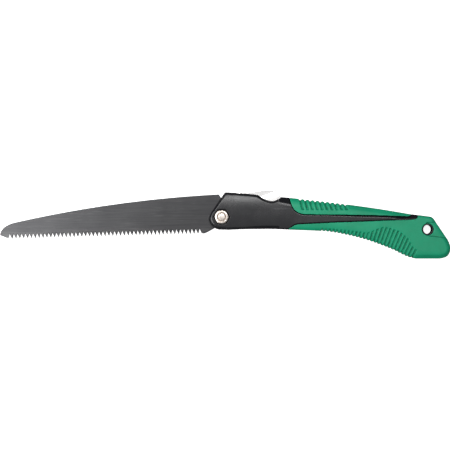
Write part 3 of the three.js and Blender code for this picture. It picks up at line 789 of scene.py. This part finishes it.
# %% Shells
SHELL_VOXEL = 0.48 * MM
BOLSTER_FACE, LINER_FACE = 8.0, 3.4
SHELL_DEEPEST = 4.4
SHELL_WALL = (6.9, 7.6)
CROWN_LINE, CROWN_REACH, CROWN_DROP, CROWN_CURVE = 5.5, 18.5, 1.5, 2.7
CROWN_FADE = (66.0, 78.0)
NOSE_FLAT, NOSE_REACH, NOSE_TILT = 9.8, 1.6, 0.27
NOSE_FRONT, NOSE_UNDER = (8.0, -4.0), (9.0, 2.0)
SHOULDER_START, SHOULDER_END = 58.0, 69.5
SHOULDER_LEAD, SHOULDER_SETTLE, SHOULDER_FADE = 2.2, 0.6, 2.0
SHOULDER_HEIGHT, SHOULDER_SLOPE = 14.9, -0.206
SHOULDER_DROP, SHOULDER_REACH = 3.5, 5.4
SHOULDER_LIP, SHOULDER_LIP_DROP = 1.8, 0.15
RIM_WIDTH, RIM_DROP, RIM_CURVE = 2.0, 2.0, 1.4
NOSE_RIM_LESS = 0.7
UNDER_RIM, UNDER_FADE = 1.2, (20.0, 45.0)
STRIP_RIM_WIDTH, STRIP_RIM_DROP, STRIP_FADE = 1.0, 0.5, (64.0, 72.0)
STRIP_MIDDLE, STRIP_END = -1.0, 197.0
SHADE_WIDTH, SHADE_DROP, SHADE_FADE = 0.9, 0.75, (100.0, 150.0)
END_FALL, END_LOW, END_SPAN, END_FADE = 2.5, -3.4, 4.9, (165.0, 182.0)
POCKET_REACH = 9.6
POCKET_RIM_WIDTH, POCKET_RIM_DROP = 0.8, 0.6


def bolster_drop(x, y, below):
    crown = CROWN_DROP * np.abs((y - CROWN_LINE) / CROWN_REACH) ** CROWN_CURVE
    nose = NOSE_TILT * np.clip(np.hypot(x, y) - NOSE_FLAT, 0, NOSE_REACH)
    return crown * (1 - ease(*CROWN_FADE, x)) + nose * below


def shoulder_drop(x, y):
    above = y - SHOULDER_HEIGHT - SHOULDER_SLOPE * (x - SHOULDER_START)
    lip = SHOULDER_LIP_DROP * np.clip(above / SHOULDER_LIP + 1, 0, 1)
    return lip + SHOULDER_DROP * np.clip(above / SHOULDER_REACH, 0, 1)


def rim_drop(x, y, edge, below):
    behind = ease(*STRIP_FADE, x)
    shaded = ease(*SHADE_FADE, x) * (y > STRIP_MIDDLE)
    width = RIM_WIDTH - NOSE_RIM_LESS * below + UNDER_RIM * ease(*UNDER_FADE, x) * (y < 0)
    width += (STRIP_RIM_WIDTH + SHADE_WIDTH * shaded - width) * behind
    drop = RIM_DROP + (STRIP_RIM_DROP + SHADE_DROP * shaded - RIM_DROP) * behind
    return drop * falling(edge, width, RIM_CURVE)


def shell(word):
    node = "handle_shell_" + word
    mesh = moulded(node, SHELL_VOXEL)
    places = read_places(mesh)
    x, y = places[:, 0], places[:, 1]
    below = ease(*NOSE_FRONT, x) * ease(*NOSE_UNDER, y)
    started = ease(SHOULDER_START - SHOULDER_LEAD, SHOULDER_START + SHOULDER_SETTLE, x)
    across = started * (1 - ease(SHOULDER_END, SHOULDER_END + SHOULDER_FADE, x))
    near_pocket = np.hypot(x, y) < POCKET_REACH
    edge = from_walls(mesh, places, *SHELL_WALL, ~near_pocket)
    rim = rim_drop(x, y, edge, below) * (1 - across)
    fall = END_FALL * np.clip((y - END_LOW) / END_SPAN, 0, 1)
    rim = (rim + (fall - rim) * ease(*END_FADE, x)) * (x < STRIP_END)
    pocket = from_walls(mesh, places, *SHELL_WALL, near_pocket)
    ring = POCKET_RIM_DROP * falling(pocket, POCKET_RIM_WIDTH, RIM_CURVE)
    drop = bolster_drop(x, y, below) + shoulder_drop(x, y) * across + np.maximum(rim, ring)
    press(places, np.minimum(drop, SHELL_DEEPEST), LINER_FACE, BOLSTER_FACE)
    write_places(mesh, places)
    make_piece("handle_shell_skin_" + word, mesh, node, [NYLON], sharp=180)


for word in SIDES:
    shell(word)

# %% [markdown]
# The blade is stamped plate, so a merged copy of the CAD plate is the right start. Teeth of a pull
# saw are ground on alternate faces and bent a little to alternate sides, which clears the cut. The
# points and gullets are the sharpest corners of the outline, so they are found by their angle. Each
# tooth is cut off from the plate's face by an edge, its flanks are bevelled on its own side, and the
# points below the gullets are leaned over.

# %% Blade teeth
SHARP_CORNER = math.radians(110)
FACET_WIDTH = 0.66 * MM
TOOTH_SET = 0.3 * MM
TEETH_TOP = -8 * MM
UNBENT_SHARE = 0.02


def outline_corners(shape):
    upright = [edge for edge in shape.edges if abs(edge.verts[0].co.z - edge.verts[1].co.z) > MM]
    upright = [edge for edge in upright if edge.is_manifold and edge.verts[0].co.y < TEETH_TOP]
    upright.sort(key=lambda edge: -edge.verts[0].co.x)
    points = [edge for edge in upright if edge.calc_face_angle_signed(0) > SHARP_CORNER]
    gullets = [edge for edge in upright if edge.calc_face_angle_signed(0) < -SHARP_CORNER]
    return points, gullets


def end_of(edge, side):
    return max(edge.verts, key=lambda vertex: side * vertex.co.z)


def grind_teeth(shape):
    points, gullets = outline_corners(shape)
    corners = [(points[i], gullets[i], gullets[i + 1]) for i in range(len(gullets) - 1)]
    flanks = []
    for number, (tip, behind, ahead) in enumerate(corners):
        for side in (1, -1):
            pair = [end_of(behind, side), end_of(ahead, side)]
            bmesh.ops.connect_vert_pair(shape, verts=pair)
        ground = 1 if number % 2 == 0 else -1
        top = end_of(tip, ground)
        for gullet in (behind, ahead):
            flanks.append(shape.edges.get([top, end_of(gullet, ground)]))
    first, last = points[0].verts[0].co.copy(), points[-1].verts[0].co.copy()
    depth = gullets[0].verts[0].co.y - first.y
    facets = bevel_edges(shape, [edge for edge in flanks if edge], FACET_WIDTH, 1)["faces"]
    for facet in facets:
        facet.material_index = 1
    return first, last, len(points), depth


def set_teeth(shape, first, last, count, depth):
    run = (last - first) / (count - 1)
    slope = run.y / run.x
    for vertex in shape.verts:
        number = round((vertex.co.x - first.x) / run.x)
        tip_line = first.y + slope * (vertex.co.x - first.x)
        below = 1 - (vertex.co.y - tip_line) / depth
        if below > UNBENT_SHARE and 0 <= number < count - 1:
            vertex.co.z += (1 if number % 2 == 0 else -1) * TOOTH_SET * min(below, 1)


plate = merged_copy("blade")
tooth_run = grind_teeth(plate)
set_teeth(plate, *tooth_run)
print(tooth_run[2], "teeth,", round(tooth_run[3] / MM, 2), "mm deep")

# %% [markdown]
# The rest of the blade's outline is tumbled after stamping, which breaks its edges: a small two-step
# bevel along every edge between a face and the outline above the tooth line.

# %% Blade edges
EDGE_BREAK = 0.28 * MM
ABOVE_TEETH = 1.2 * MM
CORNER = math.radians(60)
LEVEL = 0.1 * MM
FLAT_FACE = 0.99


def plate_rim(shape, first, last, depth):
    slope = (last.y - first.y) / (last.x - first.x)
    rim = []
    for edge in shape.edges:
        if not edge.is_manifold or edge.calc_face_angle(0) < CORNER:
            continue
        middle = (edge.verts[0].co + edge.verts[1].co) / 2
        gullet_line = first.y + slope * (middle.x - first.x) + depth
        flat = abs(edge.verts[0].co.z - edge.verts[1].co.z) < LEVEL
        if flat and middle.y > gullet_line + ABOVE_TEETH:
            rim.append(edge)
    return rim


first_tip, last_tip, _, tooth_depth = tooth_run
rim_edges = plate_rim(plate, first_tip, last_tip, tooth_depth)
bevel_edges(plate, rim_edges, EDGE_BREAK, 2)
plate_mesh = to_mesh(plate, "saw_blade")
make_piece("saw_blade", plate_mesh, "blade", [COATED, GROUND], sharp=25)
for face in plate_mesh.polygons:
    face.use_smooth = abs(face.normal.z) < FLAT_FACE

# %% [markdown]
# The lever is a stamped plate with a wider thumb pad, buffed after stamping, so its edges are softer
# than the blade's. The CAD shape is kept and every sharp edge gets a rounded bevel.

# %% Lock lever
BUFFED_EDGE = 0.3 * MM

lever = merged_copy("lock_lever")
bevel_edges(lever, sharp_edges(lever), BUFFED_EDGE, 3)
lever_mesh = to_mesh(lever, "lock_lever_polished")
make_piece("lock_lever_polished", lever_mesh, "lock_lever", [POLISHED])

# %% [markdown]
# The nut and bolt already have their turned chamfers. The nut's bore gets the countersink that a tap
# needs, the bolt's end gets its lead-in, and together they leave the dark ring that is seen round
# the end of a bolt. All other corners are broken a little.

# %% Pivot bolt and nut
SHANK_RADIUS, BORE_RADIUS = 4 * MM, 4.15 * MM
LEAD_IN = 0.7 * MM
BROKEN_EDGE = 0.14 * MM


def rim_at_top(shape, radius):
    top = max(vertex.co.z for vertex in shape.verts)
    found = []
    for edge in shape.edges:
        level = all(abs(vertex.co.z - top) < 0.02 * MM for vertex in edge.verts)
        round_it = all(abs(vertex.co.xy.length - radius) < 0.1 * MM for vertex in edge.verts)
        if level and round_it:
            found.append(edge)
    return found


def fastener(name, node, radius):
    shape = merged_copy(node)
    bevel_edges(shape, rim_at_top(shape, radius), LEAD_IN, 1)
    bevel_edges(shape, sharp_edges(shape, 35), BROKEN_EDGE, 2)
    make_piece(name, to_mesh(shape, name), node, [PIVOT_PLATED])


fastener("pivot_bolt_turned", "pivot_bolt", SHANK_RADIUS)
fastener("pivot_nut_turned", "pivot_nut", BORE_RADIUS)

# %% [markdown]
# The four handle screws are pan-head, driven from the far side with a cross-tip driver. The recess
# is cut by two crossed wedges with a Boolean, which follows the domed head. Insetting faces could
# make it too, but the dome's rings don't line up with a cross.

# %% Handle screws
RECESS_SPAN = 3.2 * MM
RECESS_WIDTH = 0.75 * MM
RECESS_DEPTH = 1.5 * MM
RECESS_TAPER = (0.45, 0.6, 1)


def recess_wedge(place, turn):
    wedge = bmesh.new()
    bmesh.ops.create_cube(wedge, size=1)
    bmesh.ops.scale(wedge, vec=(RECESS_SPAN, RECESS_WIDTH, 2 * RECESS_DEPTH), verts=wedge.verts)
    deep = [vertex for vertex in wedge.verts if vertex.co.z > 0]
    bmesh.ops.scale(wedge, vec=RECESS_TAPER, verts=deep)
    bmesh.ops.rotate(wedge, matrix=Matrix.Rotation(turn, 3, "Z"), verts=wedge.verts)
    bmesh.ops.translate(wedge, vec=place, verts=wedge.verts)
    cutter = bpy.data.objects.new("recess_wedge", to_mesh(wedge, "recess_wedge"))
    scene.collection.objects.link(cutter)
    return cutter


def handle_screw(number):
    node = f"handle_screw_{number}"
    head_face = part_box(node)[0].z
    centre = axis_of(node)
    blank = bpy.data.objects.new("screw_blank", to_mesh(merged_copy(node), "screw_blank"))
    scene.collection.objects.link(blank)
    cutters = [recess_wedge((centre[0], centre[1], head_face), turn) for turn in (0, math.pi / 2)]
    for cutter in cutters:
        cut = blank.modifiers.new("recess", "BOOLEAN")
        cut.object = cutter
        cut.solver = "EXACT"
    graph = bpy.context.evaluated_depsgraph_get()
    mesh = bpy.data.meshes.new_from_object(blank.evaluated_get(graph))
    for spent in [blank] + cutters:
        bpy.data.objects.remove(spent)
    finish = plated_steel(f"screw_plated_{number}", centre)
    make_piece(f"cross_screw_{number}", mesh, node, [finish])


for number in (1, 2, 3, 4):
    handle_screw(number)

# %% [markdown]
# The plates, washers, sleeve, pins and spring are simple and hidden, and their CAD shapes are already
# right, so they stay as they are and only get their finish.

# %% Finishes for the pieces that stay
def refinish(node, finish):
    mesh = nodes[node].data
    mesh.materials.clear()
    mesh.materials.append(finish)


staying = {"pivot_sleeve": (BRONZE, "bronze"), "lock_spring": (BLUED, "spring_steel")}
for word in SIDES:
    staying["liner_plate_" + word] = (ROLLED, "liner_steel")
    staying["thrust_washer_" + word] = (BRONZE, "bronze")
for pin in ("stop_pin", "lever_pin"):
    staying[pin] = (plated_steel(pin + "_plated", axis_of(pin)), "plated_steel")
for node, (finish, slot) in staying.items():
    refinish(node, finish)
print(len(staying), "CAD nodes refinished")

# %% [markdown]
# The saw lies on a plain white sheet, lit softly from above so that the sheet stays white right up
# to the saw. To the camera the sheet glows a little, as a light table does; to the saw it is only
# pale, so that the edges of the dark handle don't fill with its reflection.

# %% Floor
FLOOR_SIZE = 8.0
FLOOR_DROP = 0.3 * MM
SHEET_WHITE, SHEET_GLOW, SHEET_DULL = 0.9, 0.9, 0.22


def white_sheet():
    finish = bpy.data.materials.new("white_sheet")
    finish.use_nodes = True
    tree = finish.node_tree
    tree.nodes.clear()
    seen = add_node(tree, "BsdfDiffuse", {"Color": grey(SHEET_WHITE)})
    glow = add_node(tree, "Emission", {"Color": grey(1.0), "Strength": SHEET_GLOW})
    bright = add_node(tree, "AddShader", {0: seen.outputs[0], 1: glow.outputs[0]})
    dull = add_node(tree, "BsdfDiffuse", {"Color": grey(SHEET_DULL)})
    camera_ray = add_node(tree, "LightPath").outputs["Is Camera Ray"]
    chosen = add_node(tree, "MixShader", {0: camera_ray, 1: dull.outputs[0], 2: bright.outputs[0]})
    add_node(tree, "OutputMaterial", {"Surface": chosen.outputs[0]})
    return finish


sheet = bmesh.new()
bmesh.ops.create_grid(sheet, x_segments=1, y_segments=1, size=FLOOR_SIZE / 2)
floor = bpy.data.objects.new("floor", to_mesh(sheet, "floor"))
floor.data.materials.append(white_sheet())
floor.location = (box_middle.x, box_middle.y, cad_box[0].z - FLOOR_DROP)
scene.collection.objects.link(floor)
print("floor at", round(floor.location.z / MM, 2), "mm")

# %% [markdown]
# The light is a soft overhead dome that fades towards the horizon, which keeps the rounded edges of
# dark plastic dark, and two panels. The left one hangs low beyond the blade's tip, so the blade is
# bright at the tip and darker at its root. The back one is a long strip on the spine's side: the
# crowned top of the bolster turns just far enough to reflect it.

# %% Light
DOME_ZENITH, DOME_HORIZON = 0.85, 0.12
FADE_LOW, FADE_HIGH = 0.6, 0.97


def dome():
    world = bpy.data.worlds.new("dome")
    scene.world = world
    world.use_nodes = True
    tree = world.node_tree
    tree.nodes.clear()
    direction = add_node(tree, "TexCoord").outputs["Generated"]
    height = add_node(tree, "SeparateXYZ", {0: direction}).outputs[2]
    light = remap(tree, height, FADE_LOW, FADE_HIGH, DOME_HORIZON, DOME_ZENITH)
    camera_ray = add_node(tree, "LightPath").outputs["Is Camera Ray"]
    strength = add_node(tree, "Mix", {0: camera_ray, 2: light, 3: 1.0}).outputs[0]
    sky = add_node(tree, "Background", {"Color": grey(1.0), "Strength": strength})
    add_node(tree, "OutputWorld", {"Surface": sky.outputs[0]})


def panel(name, place, target, width, depth, power):
    light = bpy.data.lights.new(name, "AREA")
    light.shape = "RECTANGLE"
    light.size = width
    light.size_y = depth
    light.energy = power
    lamp = bpy.data.objects.new(name, light)
    lamp.location = place
    aim = Vector(target) - Vector(place)
    lamp.rotation_euler = aim.to_track_quat("-Z", "Y").to_euler()
    lamp.visible_camera = False
    scene.collection.objects.link(lamp)


dome()
panel("left_panel", (-0.32, 0.0, 0.50), (-0.32, 0.0, 0.0), 0.22, 0.70, 3.6)
panel("back_panel", (0.03, 0.36, 1.30), (0.03, 0.0, 0.0), 0.8, 0.20, 5.5)
print("2 panels and a dome")
